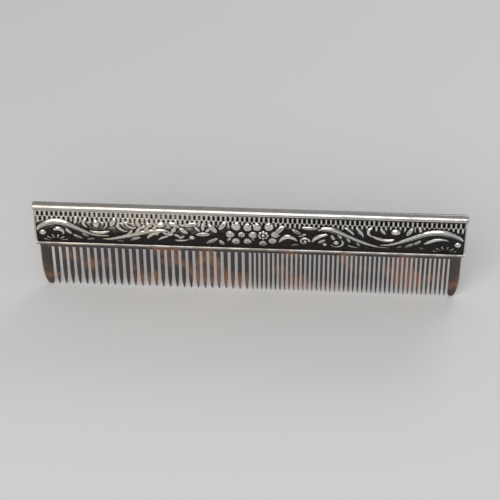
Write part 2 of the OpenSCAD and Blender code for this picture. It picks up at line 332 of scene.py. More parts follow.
# Leaves: x, z, length, width, turn from +X towards +Z, height, bend.
LEAVES = [
    (-10.9, 14.0, 4.8, 2.6, 55, 0.62, 0.05), (-14.9, 12.4, 5.4, 2.6, 128, 0.6, -0.06),
    (-15.4, 5.3, 6.4, 2.3, 35, 0.5, 0.05), (-11.2, 4.6, 3.6, 2.4, 120, 0.6, 0.0),
    (-18.9, 9.2, 6.0, 2.7, 4, 0.62, 0.05), (-26.8, 10.8, 4.6, 2.4, 140, 0.6, 0.0),
    (-23.6, 14.0, 5.6, 2.2, 15, 0.45, 0.06), (-30.6, 13.6, 5.0, 2.2, 155, 0.46, -0.05),
    (12.2, 12.9, 5.6, 2.8, 48, 0.62, 0.05), (24.2, 14.2, 6.8, 1.9, 178, 0.46, 0.03),
    (19.2, 12.2, 5.0, 2.2, 150, 0.45, 0.05), (64.6, 13.8, 4.8, 2.2, 58, 0.52, 0.05),
    (-55.4, 13.9, 4.4, 2.4, 62, 0.5, 0.05), (-45.0, 13.4, 4.6, 2.0, 115, 0.45, 0.05),
    (-46.6, 5.2, 5.4, 1.9, 25, 0.4, 0.06), (-70.0, 5.6, 5.2, 1.9, 148, 0.4, 0.05),
    (64.6, 6.4, 5.6, 1.9, 32, 0.4, -0.06), (70.4, 4.6, 4.8, 1.7, 160, 0.36, 0.05),
    (18.6, 4.4, 5.0, 1.9, 8, 0.4, 0.05), (29.2, 7.2, 4.2, 1.9, 35, 0.45, 0.0),
    (-30.8, 11.0, 3.6, 2.2, 60, 0.52, 0.0), (47.8, 4.0, 4.2, 1.6, 15, 0.36, 0.0),
    (-64.8, 4.2, 4.6, 1.6, 12, 0.36, 0.0), (-52.6, 3.4, 4.0, 1.4, 170, 0.34, 0.0),
    (-21.2, 12.0, 4.0, 1.5, 128, 0.5, 0.05), (-18.9, 12.8, 4.2, 1.6, 90, 0.55, 0.0),
    (-16.8, 11.6, 3.6, 1.5, 52, 0.5, -0.05), (-8.2, 6.9, 3.2, 1.5, 60, 0.4, 0.0),
    (1.3, 7.2, 3.0, 1.4, 118, 0.4, 0.0), (-43.2, 12.0, 3.8, 1.7, 35, 0.45, 0.08),
    (-29.4, 8.0, 3.4, 1.6, 150, 0.45, 0.0), (-27.6, 7.0, 3.2, 1.5, 35, 0.42, 0.0),
    (21.4, 10.4, 4.0, 1.7, 25, 0.45, 0.06), (33.8, 9.6, 3.6, 1.7, 118, 0.45, 0.0),
    (54.0, 13.6, 3.6, 1.7, 125, 0.45, 0.0), (-70.6, 14.3, 3.6, 1.6, 75, 0.45, 0.0),
    (69.0, 14.6, 3.4, 1.6, 110, 0.45, 0.0), (-73.6, 8.6, 4.2, 1.8, 128, 0.45, 0.08),
    (67.8, 8.2, 4.4, 1.9, 40, 0.42, -0.08), (44.6, 12.6, 3.2, 1.5, 128, 0.42, 0.0),
    (-66.8, 6.8, 3.8, 1.7, 150, 0.42, 0.0), (60.6, 5.2, 3.4, 1.5, 25, 0.38, 0.0)
]
# Leaflets on the scrolls: which scroll, from and to which part of its length, how many and which side.
FRONDS = [
    (LEFT_TROUGH, 0.34, 0.66, 4, 1), (LEFT_TROUGH, 0.62, 0.8, 2, -1), (RIGHT_TROUGH, 0.34, 0.6, 3, -1)
]
# Plain buds: x, z, half length, half width, turn, height.
BUDS = [
    (-62.3, 12.9, 2.1, 1.5, 90, 0.78), (59.0, 13.5, 2.2, 1.6, 0, 0.78), (-36.0, 13.4, 2.1, 1.4, 12, 0.72),
    (-32.3, 8.8, 1.6, 1.4, 0, 0.66), (-23.4, 6.9, 1.4, 1.3, 0, 0.58), (-40.8, 13.2, 1.6, 1.1, 140, 0.5),
    (30.6, 5.4, 1.2, 1.1, 0, 0.5), (35.2, 6.6, 1.5, 1.4, 0, 0.6)
]
# A curl that winds in to a bud: x, z and outer radius.
CURL = (22.3, 6.9, 2.1)
# Roots of the shell fans, under the two end arches: distance from the middle, and z.
FAN_ROOT = (79.2, 2.4)
# Heads of the pins, on flat seats that the relief leaves free.
HEAD_R = 1.3
SEAT_R = 1.55
SEAT_Y = BELLY_Y + 0.15
PIN_X = pins_high[0] - HEAD_R
PIN_Z = (pins_low[2] + pins_high[2]) / 2
# Punched ticks: z of the two rows, and the half width, straight half height, round end and depth of each.
TICK_ROWS = (17.25, 14.9)
TICK_HALF, TICK_STRAIGHT, TICK_END, TICK_DEPTH = 0.62, 0.75, 0.5, 0.42
# A raised bead along the lower edge: how far above it, half width and height.
BEAD_UP, BEAD_HALF, BEAD_H = 0.6, 0.24, 0.16
# Depth of the ground close round the ornament.
SINK = 0.10
# How far in from the ends and from the long edges the relief dies away.
END_FADE, SIDE_FADE = 0.5, 0.3
# How dark the sheet is made: oxide on open ground, oxide with painted form shade down the flanks of
# the ornament, painted shade near the teeth, painted shade with dirt right under the rail, and what
# is added away from -X.
GROUND_DARK, FLANK_DARK, TEETH_SHADE, RAIL_SHADE_AND_DIRT, RIGHTWARD_DARK = 0.85, 0.42, 0.48, 0.5, 0.22
# The sheets are made lighter most at -X, fading out over this band of x, and in a patch there, of
# which this is the middle and the half width.
LEFT_LIGHTENING_BAND = (-30, 30)
LEFT_LIGHTENING_PATCH = (-42, 24)
# Above this band of z the ground gives way to the ticks.
GROUND_TOP = (13.4, 14.4)


def curl(field, x, z, r):
    """A strand that winds inwards a little more than once, round a bud."""
    winding = []
    for a in np.linspace(0, 2.3 * math.pi, 16):
        reach = r * (1 - 0.1 * a)
        winding.append((x + reach * math.cos(a), z + reach * math.sin(a), 0.34 * reach, 0.5))
    sweep(field, winding)
    dome(field, x, z, 0.6, 0.6, 0, 0.6)


def ornament():
    """Height of the embossed ornament over the plain sheet, without the ground's texture."""
    field = np.zeros_like(X)
    for x, z, core, reach, turns in BLOSSOMS:
        for turn in turns:
            a = math.radians(turn)
            petal(field, x + reach * math.cos(a), z + reach * math.sin(a), *PETAL_R, turn, PETAL_H)
        seeded_core(field, x, z, core)
    for row in LEAVES:
        leaf(field, *row)
    for row in BUDS:
        dome(field, *row)
    for rows in STRANDS:
        sweep(field, rows)
    curl(field, *CURL)
    for row in FRONDS:
        fronds(field, *row)
    for side in (-1, 1):
        shell_fan(field, side * FAN_ROOT[0], FAN_ROOT[1])
    for rows in SCROLLS:
        sweep(field, rows, fluted)
    return soften(field, 1) * RELIEF / TALLEST


def tick_band():
    """Depth of the upright punch marks in two staggered rows below the crest."""
    pitch = (xs[1] - xs[0]) * TICK_COLUMNS
    depth = np.zeros_like(X)
    for centre, shift in zip(TICK_ROWS, (0.0, 0.5)):
        across = ((X / pitch + shift) % 1 - 0.5) * pitch / TICK_HALF
        up = np.clip((np.abs(Z - centre) - TICK_STRAIGHT) / TICK_END, 0, None)
        depth = np.maximum(depth, TICK_DEPTH * crowned(across**2 + up**2))
    return depth


def finish_edges(height):
    """Adds the pins' flat seats, and lets the relief die away at the edges of the sheet."""
    from_pin = np.minimum(np.hypot(X - PIN_X, Z - PIN_Z), np.hypot(X + PIN_X, Z - PIN_Z))
    height = np.where(from_pin < SEAT_R, SEAT_Y - ground_y(Z), height)
    end_fade = np.minimum(X - xs[0], xs[-1] - X) / END_FADE
    side_fade = np.minimum(Z - zs[0], zs[-1] - Z) / SIDE_FADE
    return soften(height, 1) * np.clip(np.minimum(end_fade, side_fade), 0, 1)


def patina_and_shade(raised, covered, ticks, height):
    """Darkness from 0 to 1: oxide where sunk, oxide and painted shade on flanks, painted shade by the teeth,
    painted shade and dirt under the rail.
    """
    foot = 1 - smoothstep(raised, 0.04, 0.45)
    # Oxide together with painted form shade: the ornament darkens down its flanks.
    flank = 1 - smoothstep(raised, 0.25, 0.85)
    sunk = 2.4 * (soften(height, 12) - height) + 7.0 * (soften(height, 3) - height)
    # Lighter towards -X and in a patch there; on the open ground, only in its upper part.
    left_lightening = 0.8 * (1 - smoothstep(X, *LEFT_LIGHTENING_BAND)) + 0.55 * groove(X - LEFT_LIGHTENING_PATCH[0], LEFT_LIGHTENING_PATCH[1])
    ground = GROUND_DARK - 0.50 * smoothstep(Z, 13.0, 14.6) - 0.36 * left_lightening * smoothstep(Z, 7.0, 13.0)
    # Painted shade: the sheet darkens towards the teeth.
    painted_teeth_shade = TEETH_SHADE * (1 - smoothstep(Z, 2.0, 9.0))
    # Painted shade right under the rail, with dirt in the crevice there.
    rail_shade_and_dirt = RAIL_SHADE_AND_DIRT * smoothstep(Z, zs[-1] - 0.7, zs[-1])
    dark = np.maximum(ground * foot, FLANK_DARK * flank * covered) + sunk + painted_teeth_shade + rail_shade_and_dirt
    # Darker away from -X.
    dark = np.clip(dark + RIGHTWARD_DARK * (1 - left_lightening), 0, 1)
    in_ticks = smoothstep(ticks, 0.02, 0.12) * (1 - 0.45 * left_lightening)
    return soften(np.maximum(dark, in_ticks), 1)


def relief():
    """Height over the plain sheet, its patina and painted shade, and where the ground is matted."""
    raised = ornament()
    covered = smoothstep(raised, 0.02, 0.16)
    near = smoothstep(soften(covered, 9), 0.02, 0.5)
    ground = 1 - covered
    ticks = tick_band() * ground * (1 - 0.5 * near)
    bead = BEAD_H * groove(Z - panel_low[2] - BEAD_UP, BEAD_HALF)
    height = finish_edges(raised - SINK * near * ground - ticks + bead)
    return height, patina_and_shade(raised, covered, ticks, height), ground * (1 - smoothstep(Z, *GROUND_TOP))


# ---------------------------------------------------------------- materials
class Nodes:
    """Adds shader nodes to one material in a few words."""

    def __init__(self, name):
        self.material = bpy.data.materials.new(name)
        self.material.use_nodes = True
        self.tree = self.material.node_tree
        self.shader = self.tree.nodes["Principled BSDF"]
        self.where = self.add("ShaderNodeTexCoord").outputs["Object"]

    def add(self, kind, inputs=None, **settings):
        """A node of the given kind, with its inputs fed and its settings set."""
        made = self.tree.nodes.new(kind)
        for key, value in settings.items():
            setattr(made, key, value)
        for key, value in (inputs or {}).items():
            self.feed(made.inputs[key], value)
        return made

    def feed(self, socket, value):
        """Links a socket to another one, or gives it a plain value."""
        if isinstance(value, bpy.types.NodeSocket):
            self.tree.links.new(value, socket)
        else:
            socket.default_value = value

    def stretched(self, scale):
        """Object coordinates, scaled along each axis."""
        return self.add("ShaderNodeMapping", {"Vector": self.where, "Scale": scale}).outputs[0]

    def noise(self, scale, detail, vector=None):
        inputs = {"Vector": vector or self.where, "Scale": scale, "Detail": detail}
        return self.add("ShaderNodeTexNoise", inputs).outputs["Fac"]

    def ramp(self, value, low, high, start=0.0, end=1.0):
        """Goes smoothly from start to end as the value goes from low to high."""
        inputs = {"Value": value, "From Min": low, "From Max": high, "To Min": start, "To Max": end}
        return self.add("ShaderNodeMapRange", inputs, interpolation_type="SMOOTHSTEP").outputs[0]

    def math(self, operation, a, b):
        return self.add("ShaderNodeMath", {0: a, 1: b}, operation=operation).outputs[0]

    def mix(self, factor, a, b):
        return self.add("ShaderNodeMix", {0: factor, 6: a, 7: b}, data_type="RGBA").outputs[2]

    def attribute(self, name):
        return self.add("ShaderNodeAttribute", attribute_name=name).outputs["Fac"]

    def bump(self, height, distance, strength, normal=None):
        inputs = {"Height": height, "Distance": distance, "Strength": strength}
        if normal is not None:
            inputs["Normal"] = normal
        return self.add("ShaderNodeBump", inputs).outputs[0]

    def finish(self, **inputs):
        """Feeds the shader's inputs, and returns the material."""
        for key, value in inputs.items():
            self.feed(self.shader.inputs[key.replace("_", " ")], value)
        return self.material


def rgb(r, g, b):
    return (r, g, b, 1.0)


SILVER = rgb(0.74, 0.73, 0.715)
WARM_SILVER = rgb(0.78, 0.715, 0.62)
TARNISH_AND_SHADE = rgb(0.20, 0.185, 0.165)
OXIDE_AND_SHADE = rgb(0.016, 0.015, 0.0145)


def silver_tint(m):
    """Silver that goes from warm at -X to neutral at +X, in soft patches."""
    along = m.add("ShaderNodeSeparateXYZ", {"Vector": m.where}).outputs["X"]
    patches = m.ramp(m.noise(60, 4), 0.35, 0.7, -0.25, 0.3)
    warmth = m.math("ADD", m.ramp(along, -0.08, 0.05, 0.9, 0.15), patches)
    return m.mix(warmth, SILVER, WARM_SILVER)


def embossed_silver():
    """Silver bright where the sheet stands out, oxidised and matted where it is sunk, with painted shade on
    flanks, by the teeth and under the rail.
    """
    m = Nodes("embossed_silver")
    # The oxide attribute carries painted shade too: on the ornament's flanks, by the teeth and under the
    # rail.
    oxide_and_painted_shade = m.attribute("oxide_and_painted_shade")
    matting = m.attribute("matting")
    blotches = m.ramp(m.noise(420, 6), 0.3, 0.75, -0.12, 0.14)
    dark = m.ramp(m.math("ADD", oxide_and_painted_shade, blotches), 0.0, 0.80)
    dots = m.add("ShaderNodeTexVoronoi", {"Vector": m.where, "Scale": 2600.0}).outputs["Distance"]
    punched = m.math("MULTIPLY", m.ramp(dots, 0.1, 0.5), matting)
    speck = m.math("MULTIPLY", m.ramp(dots, 0.65, 0.25, -0.035, 0.0), matting)
    darkness = m.add("ShaderNodeMath", {0: dark, 1: speck}, operation="ADD", use_clamp=True).outputs[0]
    scuffs = m.noise(1.0, 3, m.stretched((900, 6000, 2600)))
    normal = m.bump(punched, 0.00012, 0.7)
    normal = m.bump(m.noise(600, 2), 0.00012, 0.5, normal)
    normal = m.bump(scuffs, 0.00002, 0.5, normal)
    rough = m.math("ADD", m.ramp(darkness, 0.0, 1.0, 0.2, 0.55), m.ramp(scuffs, 0.3, 0.8, -0.04, 0.08))
    colour = m.mix(darkness, silver_tint(m), OXIDE_AND_SHADE)
    return m.finish(Base_Color=colour, Metallic=1.0, Roughness=rough, Normal=normal)


def plain_silver(name, dullness):
    """Polished silver; dullness from 0 to 1 is how much of it is tarnished, on the crest rail, end caps and
    rim wires partly as painted shade.
    """
    m = Nodes(name)
    hairlines = m.noise(1.0, 4, m.stretched((120, 5200, 5200)))
    dulled = m.noise(220, 5)
    tarnish_and_painted_shade = m.ramp(dulled, 0.3, 0.75, 0.55 * dullness, 0.15 + 0.75 * dullness)
    rough = m.math("ADD", m.ramp(dulled, 0.3, 0.75, 0.16, 0.36), m.ramp(hairlines, 0.3, 0.8, -0.03, 0.07))
    normal = m.bump(hairlines, 0.000015, 0.6, m.bump(m.noise(130, 2), 0.00025, 0.35))
    colour = m.mix(tarnish_and_painted_shade, silver_tint(m), TARNISH_AND_SHADE)
    return m.finish(Base_Color=colour, Metallic=1.0, Roughness=rough, Normal=normal)


def tortoiseshell():
    """Near-black shell with bent amber clouds, fine freckles and smears along the teeth."""
    m = Nodes("tortoiseshell")
    swirl = m.add("ShaderNodeTexNoise", {"Vector": m.where, "Scale": 90.0}).outputs["Color"]
    bent = m.add("ShaderNodeMix", {0: 0.012, 4: m.where, 5: swirl}, data_type="VECTOR").outputs[1]
    stretched = m.add("ShaderNodeMapping", {"Vector": bent, "Scale": (75, 75, 55)}).outputs[0]
    cloud = m.ramp(m.noise(1.0, 2, stretched), 0.48, 0.64)
    freckles = m.ramp(m.noise(900, 2), 0.45, 0.7, -0.1, 0.12)
    shade = m.add("ShaderNodeMath", {0: cloud, 1: freckles}, operation="ADD", use_clamp=True).outputs[0]
    amber = m.mix(m.ramp(m.noise(110, 2), 0.35, 0.7), rgb(0.25, 0.085, 0.02), rgb(0.10, 0.028, 0.008))
    colour = m.mix(shade, rgb(0.016, 0.007, 0.005), amber)
    smears = m.noise(1.0, 4, m.stretched((2600, 2600, 240)))
    rough = m.ramp(smears, 0.3, 0.75, 0.14, 0.3)
    normal = m.bump(smears, 0.00003, 0.6)
    m.shader.inputs["Coat Weight"].default_value = 0.5
    m.shader.inputs["Coat Roughness"].default_value = 0.08
    return m.finish(Base_Color=colour, Roughness=rough, Normal=normal, IOR=1.54)


def resin():
    """The dull brown filler inside the mount."""
    m = Nodes("resin")
    grain = m.noise(500, 6)
    colour = m.mix(m.ramp(grain, 0.3, 0.7), rgb(0.22, 0.15, 0.09), rgb(0.36, 0.27, 0.17))
    return m.finish(Base_Color=colour, Roughness=0.6, Normal=m.bump(grain, 0.0002, 0.5))


def pale_floor():
    return Nodes("pale_floor").finish(Base_Color=rgb(0.80, 0.79, 0.77), Roughness=0.55)


silver_relief = embossed_silver()
silver_plain = plain_silver("plain_silver", 0.0)
# Tarnished silver for the crest rail and end caps, darker partly as painted shade: the rail's top is given
# darker reflections.
silver_tarnished_and_shaded = plain_silver("tarnished_and_shaded_silver", 0.55)
# The darkest tarnished silver, for the rim wires along the lower edges, partly painted shade.
silver_dark_and_shaded = plain_silver("darkened_and_shaded_silver", 1.0)
shell = tortoiseshell()


# ---------------------------------------------------------------- embossed panels
# Places on the texture: the outside in three strips with a gutter at both sides of each, and the
# edges and the inside in narrow bands above them, in a layer called OFBake that each sheet brings.
# A layer called OFBake is the one that the export bakes into, so each sheet brings its own.
STRIPS = 3
STRIPS_TOP = 0.95
GUTTER = 0.01
EDGE_BAND = (0.96, 0.97)
INSIDE_BAND = (0.98, 1.0)


def grid_index(i, j):
    """Number of a point of the sheet's outside; the inside's own points are numbered after them."""
    return i * (ROWS + 1) + j


FIRST_INSIDE = grid_index(COLUMNS, ROWS) + 1


def sheet_rim():
    """The grid's corners round its edge, from the one at low x and low z and along x first."""
    rim = [(i, 0) for i in range(COLUMNS + 1)] + [(COLUMNS, j) for j in range(1, ROWS + 1)]
    return rim + [(i, ROWS) for i in range(COLUMNS - 1, -1, -1)] + [(0, j) for j in range(ROWS - 1, 0, -1)]


def sheet_outside():
    """The cells of the grid, and the texture places of their corners."""
    i, j = np.meshgrid(np.arange(COLUMNS), np.arange(ROWS), indexing="ij")
    corners = [(i, j), (i + 1, j), (i + 1, j + 1), (i, j + 1)]
    faces = np.stack([grid_index(*corner).ravel() for corner in corners], -1)
    strip = (i * STRIPS // COLUMNS).reshape(-1, 1)
    u = np.stack([column.ravel() for column, _ in corners], -1) * STRIPS / COLUMNS - strip
    v = np.stack([row.ravel() for _, row in corners], -1) / ROWS
    layout = np.stack([u, (strip + GUTTER + (1 - 2 * GUTTER) * v) * STRIPS_TOP / STRIPS], -1)
    return faces.tolist(), list(layout)


def sheet_edges(rim):
    """The quads that join the outside to the inside, and their texture places."""
    low, high = EDGE_BAND
    faces, layout = [], []
    for k, corner in enumerate(rim):
        after = (k + 1) % len(rim)
        start, end = k / len(rim), (k + 1) / len(rim)
        faces.append([grid_index(*corner), FIRST_INSIDE + k, FIRST_INSIDE + after, grid_index(*rim[after])])
        layout.append([(start, low), (start, high), (end, high), (end, low)])
    return faces, layout


def sheet_inside(rim):
    """One long face per row of the grid, and their texture places."""
    index = {corner: FIRST_INSIDE + k for k, corner in enumerate(rim)}
    low, high = INSIDE_BAND
    faces, layout = [], []
    for j in range(ROWS):
        # Only the lowest and the highest row have points between their ends, where they meet the edges.
        upper, lower = (range(COLUMNS + 1) if k in (0, ROWS) else (0, COLUMNS) for k in (j + 1, j))
        corners = [(i, j + 1) for i in upper] + [(i, j) for i in reversed(lower)]
        faces.append([index[corner] for corner in corners])
        layout.append([(i / COLUMNS, low + (high - low) * k / ROWS) for i, k in corners])
    return faces, layout


def panel_mesh(name, side, height, oxide_and_painted_shade, matting):
    """A closed sheet: embossed outside, plain inside; side is -1 for the front, 1 for the back."""
    rim = sheet_rim()
    outer = np.stack([X, side * (ground_y(Z) + height), Z], -1).reshape(-1, 3)
    inner_y = side * (ground_y(Z) - SHEET)
    inner = [(X[corner], inner_y[corner], Z[corner]) for corner in rim]
    faces, layout = sheet_outside()
    outside_count = len(faces)
    for more_faces, more_layout in (sheet_edges(rim), sheet_inside(rim)):
        faces += more_faces
        layout += more_layout
    if side > 0:
        faces = [face[::-1] for face in faces]
        layout = [places[::-1] for places in layout]
    piece = add_mesh(name, np.vstack([outer, inner]), faces)
    piece.data.polygons.foreach_set("use_smooth", np.arange(len(faces)) < outside_count)
    baked = piece.data.uv_layers.new(name="OFBake")
    baked.data.foreach_set("uv", np.concatenate([np.ravel(places) for places in layout]))
    # The oxide with its painted shade, and the matting, go to the material as point attributes.
    for key, values in (("oxide_and_painted_shade", oxide_and_painted_shade), ("matting", matting)):
        layer = piece.data.attributes.new(key, "FLOAT", "POINT")
        layer.data.foreach_set("value", np.concatenate([values.ravel(), np.zeros(len(inner))]))
    return piece


embossing = relief()
for node, side in (("front_panel", -1), ("back_panel", 1)):
    place(panel_mesh(node + "_relief", side, *embossing), silver_relief, "embossed_sheet", node)


# ---------------------------------------------------------------- swept rails and wires
# Rings along a bar's straight part, and along each rounded end.
RINGS = 150
END_RINGS = 6
# Sine waves that make up the waviness, and the top of the range that their phases are drawn from.
WAVES = 6
PHASES = 6.28
# The crest's half-round section, with fillets at its lower edges.
CREST_R = rail_high[1]
FILLET = 0.18
# The wires' half-round section about (WIRE_Y, WIRE_R), and the inner edge of its web.
WIRE_R = (rim_high[2] - rim_low[2]) / 2
WIRE_Y = -rim_low[1] - WIRE_R
WEB_Y = -rim_high[1]


def tube_faces(ring_count, n):
    """Quads between successive rings of n points."""
    return [
        (r * n + k, r * n + (k + 1) % n, (r + 1) * n + (k + 1) % n, (r + 1) * n + k)
        for r in range(ring_count - 1)
        for k in range(n)
    ]


def end_faces(ring_count, n):
    """The faces that close a tube at its first and last ring."""
    return [tuple(range(n - 1, -1, -1)), tuple(range((ring_count - 1) * n, ring_count * n))]


def arc(u, v, r, start, end, steps):
    """Points round (u, v) in a plane, between two angles in degrees."""
    return [(u + r * math.cos(a), v + r * math.sin(a)) for a in np.radians(np.linspace(start, end, steps))]


def swept_bar(name, section, half_length, round_r, waviness, seed):
    """A bar along X with the given closed section, rounded ends and slight hand-worked waviness."""
    rng = np.random.default_rng(seed)
    waves = [(rng.uniform(0.05, 0.45), rng.uniform(0, PHASES), rng.uniform(0.3, 1)) for _ in range(WAVES)]
    section = np.asarray(section, float)
    outward = section - section.mean(0)
    outward = outward / np.linalg.norm(outward, axis=1, keepdims=True)
    turns = np.linspace(0, math.pi / 2, END_RINGS)
    ends = half_length - round_r * (1 - np.sin(turns))
    inset = round_r * (1 - np.cos(turns))
    x_all = np.concatenate([-ends[::-1], np.linspace(-ends[0], ends[0], RINGS)[1:-1], ends])
    inset_all = np.concatenate([inset[::-1], np.zeros(RINGS - 2), inset])
    points = []
    for x, cut in zip(x_all, inset_all):
        ring = section - outward * cut
        if cut == 0:
            wave = sum(weight * math.sin(rate * x + phase) for rate, phase, weight in waves)
            wave = wave * waviness / (WAVES / 2)
            ring = ring + [wave * 0.6, wave * 0.3]
        points += [(x, y, z) for y, z in ring]
    faces = tube_faces(len(x_all), len(section)) + end_faces(len(x_all), len(section))
    return add_mesh(name, points, faces)


def crest_section():
    """A half round with small fillets at its two lower edges."""
    section = arc(0, rail_low[2], CREST_R, 0, 180, 33)
    section += arc(-CREST_R + FILLET, rail_low[2] + FILLET, FILLET, 200, 270, 5)
    return section + arc(CREST_R - FILLET, rail_low[2] + FILLET, FILLET, 270, 340, 5)


def wire_section(side):
    """A half-round wire with a flat web that reaches in to the tooth plate."""
    section = [(WEB_Y, 2 * WIRE_R), (WEB_Y, 0)] + arc(WIRE_Y, WIRE_R, WIRE_R, -90, 90, 17)
    return section if side > 0 else [(-y, z) for y, z in section[::-1]]


crest = swept_bar("crest_rail_round", crest_section(), rail_high[0], round_r=0.35, waviness=0.03, seed=4)
place(crest, silver_tarnished_and_shaded, "plain_silver", "crest_rail")
for node, side, seed in (("front_rim_wire", -1, 7), ("back_rim_wire", 1, 9)):
    section = wire_section(side)
    wire = swept_bar(node + "_round", section, rim_high[0], round_r=0.05, waviness=0.015, seed=seed)
    place(wire, silver_dark_and_shaded, "plain_silver", node)


# ---------------------------------------------------------------- end caps
# Width of the softened edge, and how far above the panels' lower edge their curve is picked up.
CAP_BEVEL = 0.14
CAP_FOOT = 0.05


def end_cap(name, side):
    """A plate with the section of the mount, its edges softened."""
    outline = arc(WIRE_Y, WIRE_R, WIRE_R, -90, 90, 13)
    outline += [(float(ground_y(z)), z) for z in np.linspace(panel_low[2] + CAP_FOOT, panel_high[2], 25)]
    outline += [(-y, z) for y, z in outline[::-1]]
    points = [(side * x, y, z) for x in (cap_low[0], cap_high[0]) for y, z in outline]
    faces = tube_faces(2, len(outline)) + end_faces(2, len(outline))
    if side < 0:
        faces = [face[::-1] for face in faces]
    piece = add_mesh(name, points, faces, smooth=False)
    bevel = piece.modifiers.new("soft_edge", "BEVEL")
    bevel.width = CAP_BEVEL * MM
    bevel.segments = 3
    bevel.limit_method = "ANGLE"
    bevel.angle_limit = math.radians(50)
    return piece


for node, side in (("left_end_cap", -1), ("right_end_cap", 1)):
    place(end_cap(node + "_plate", side), silver_tarnished_and_shaded, "plain_silver", node)


# ---------------------------------------------------------------- pins
# Radius of the wire, how far its heads are let in, and points round a ring.
PIN_R = 0.6
HEAD_SUNK = 0.02
PIN_STEPS = 32
# Points nearer than this are made one, where a head comes to a point.
WELD = 0.001


def outward_normals(piece, sharp_degrees, weld=0.0):
    """Turns every face outwards and splits the shading at sharp edges, after any welding."""
    bm = bmesh.new()
    bm.from_mesh(piece.data)
    if weld:
        bmesh.ops.remove_doubles(bm, verts=bm.verts, dist=weld * MM)
    bmesh.ops.recalc_face_normals(bm, faces=bm.faces)
    bm.to_mesh(piece.data)
    bm.free()
    piece.data.set_sharp_from_angle(angle=math.radians(sharp_degrees))


def pin(name, x):
    """A wire through the mount, riveted into a low dome at both ends."""
    rise = pins_high[1] - SEAT_Y
    ball = (HEAD_R**2 + rise**2) / (2 * rise)
    radii = HEAD_R * np.sin(np.linspace(0, math.pi / 2, 10))
    profile = [(r, SEAT_Y + rise - ball + math.sqrt(ball**2 - r**2)) for r in radii]
    profile += [(HEAD_R, SEAT_Y - HEAD_SUNK), (PIN_R, SEAT_Y - HEAD_SUNK)]
    profile += [(r, -y) for r, y in profile[::-1]]
    points = [
        (x + r * math.cos(a), y, PIN_Z + r * math.sin(a))
        for r, y in profile
        for a in np.linspace(0, 2 * math.pi, PIN_STEPS, endpoint=False)
    ]
    piece = add_mesh(name, points, tube_faces(len(profile), PIN_STEPS))
    outward_normals(piece, 50, WELD)
    return piece


for name, side in (("left_pin", -1), ("right_pin", 1)):
    place(pin(name, side * PIN_X), silver_plain, "plain_silver", "fixing_pins")


# ---------------------------------------------------------------- tooth plate
# Number of teeth in each run, and the gap between two of them.
COARSE, COARSE_GAP = 28, 1.15
FINE, FINE_GAP = 43, 0.8
HALF_THICK = (tang_high[1] - tang_low[1]) / 2
ROOT_Z = coarse_high[2]
TIP_Z = coarse_low[2]
TOOTH_LENGTH = ROOT_Z - TIP_Z
# Points round a tooth.
TOOTH_STEPS = 16
# Share of its thickness that a tooth loses by its tip, and the part of its length where it narrows.
THINNING = 0.42
TAPER_START = 0.62
# Share of its squared width that the taper takes from a tooth.
NARROWING = 0.86
# The guard teeth sweep in from one part of their length and round off from another, and this share
# of their width is left at the tip.
SWEEP_START = 0.42
ROUND_START = 0.93
GUARD_TIP = 0.32
# Share of its area that a ring keeps at a tip, so that the skin has something to close over.
BLUNT = 0.02
# Corner radius of the solid band over the teeth.
CORNER_R = 0.25


def rounded_ring(cx, z, half_w, half_t, square):
    """A superellipse in a level plane; square is near 2 for an oval and higher for a block."""
    a = np.linspace(0, 2 * math.pi, TOOTH_STEPS, endpoint=False) + math.pi / TOOTH_STEPS
    c, s = np.cos(a), np.sin(a)
    x = cx + half_w * np.sign(c) * np.abs(c) ** (2 / square)
    y = half_t * np.sign(s) * np.abs(s) ** (2 / square)
    return [(px, py, z) for px, py in zip(x, y)]


def loft(rings, points, faces):
    """Adds a closed skin over the rings, which run downwards."""
    base = len(points)
    n = len(rings[0])
    for ring in rings:
        points.extend(ring)
    for r in range(len(rings) - 1):
        for k in range(n):
            a, b = base + r * n + k, base + r * n + (k + 1) % n
            faces.append((b, a, a + n, b + n))
    faces.append(tuple(base + k for k in range(n)))
    faces.append(tuple(base + (len(rings) - 1) * n + k for k in range(n - 1, -1, -1)))


def closing(drawn, power):
    """Share of its width or thickness that a ring keeps as drawn goes from 0 to 1 at the tip."""
    return math.sqrt(max(1 - drawn**power, BLUNT))


def tooth_rings(cx, pitch, gap):
    """One tooth: round-bottomed gaps beside its root, straight sides, and a tapered point."""
    half_w, half_gap = (pitch - gap) / 2, gap / 2
    rings = [rounded_ring(cx, ROOT_Z + 0.5, pitch / 2, HALF_THICK * 0.98, 6)]
    for d in half_gap * (1 - np.cos(np.linspace(0, math.pi / 2, 6))):
        flare = half_gap - math.sqrt(max(half_gap**2 - (half_gap - d) ** 2, 0))
        thick = HALF_THICK * (1 - 0.3 * d / TOOTH_LENGTH)
        rings.append(rounded_ring(cx, ROOT_Z - d, half_w + flare, thick, 4))
    straight = np.linspace(0.12, TAPER_START, 5)
    pointed = TAPER_START + (1 - TAPER_START) * np.sin(np.linspace(0.15, math.pi / 2, 9))
    for t in np.concatenate([straight, pointed]):
        drawn = max(t - TAPER_START, 0) / (1 - TAPER_START)
        thick = HALF_THICK * (1 - THINNING * t) * closing(drawn, 4)
        wide = half_w * math.sqrt(max(1 - NARROWING * drawn**1.5, 0)) * closing(drawn, 8)
        rings.append(rounded_ring(cx, ROOT_Z - t * TOOTH_LENGTH, wide, thick, 3.2 - drawn))
    return rings


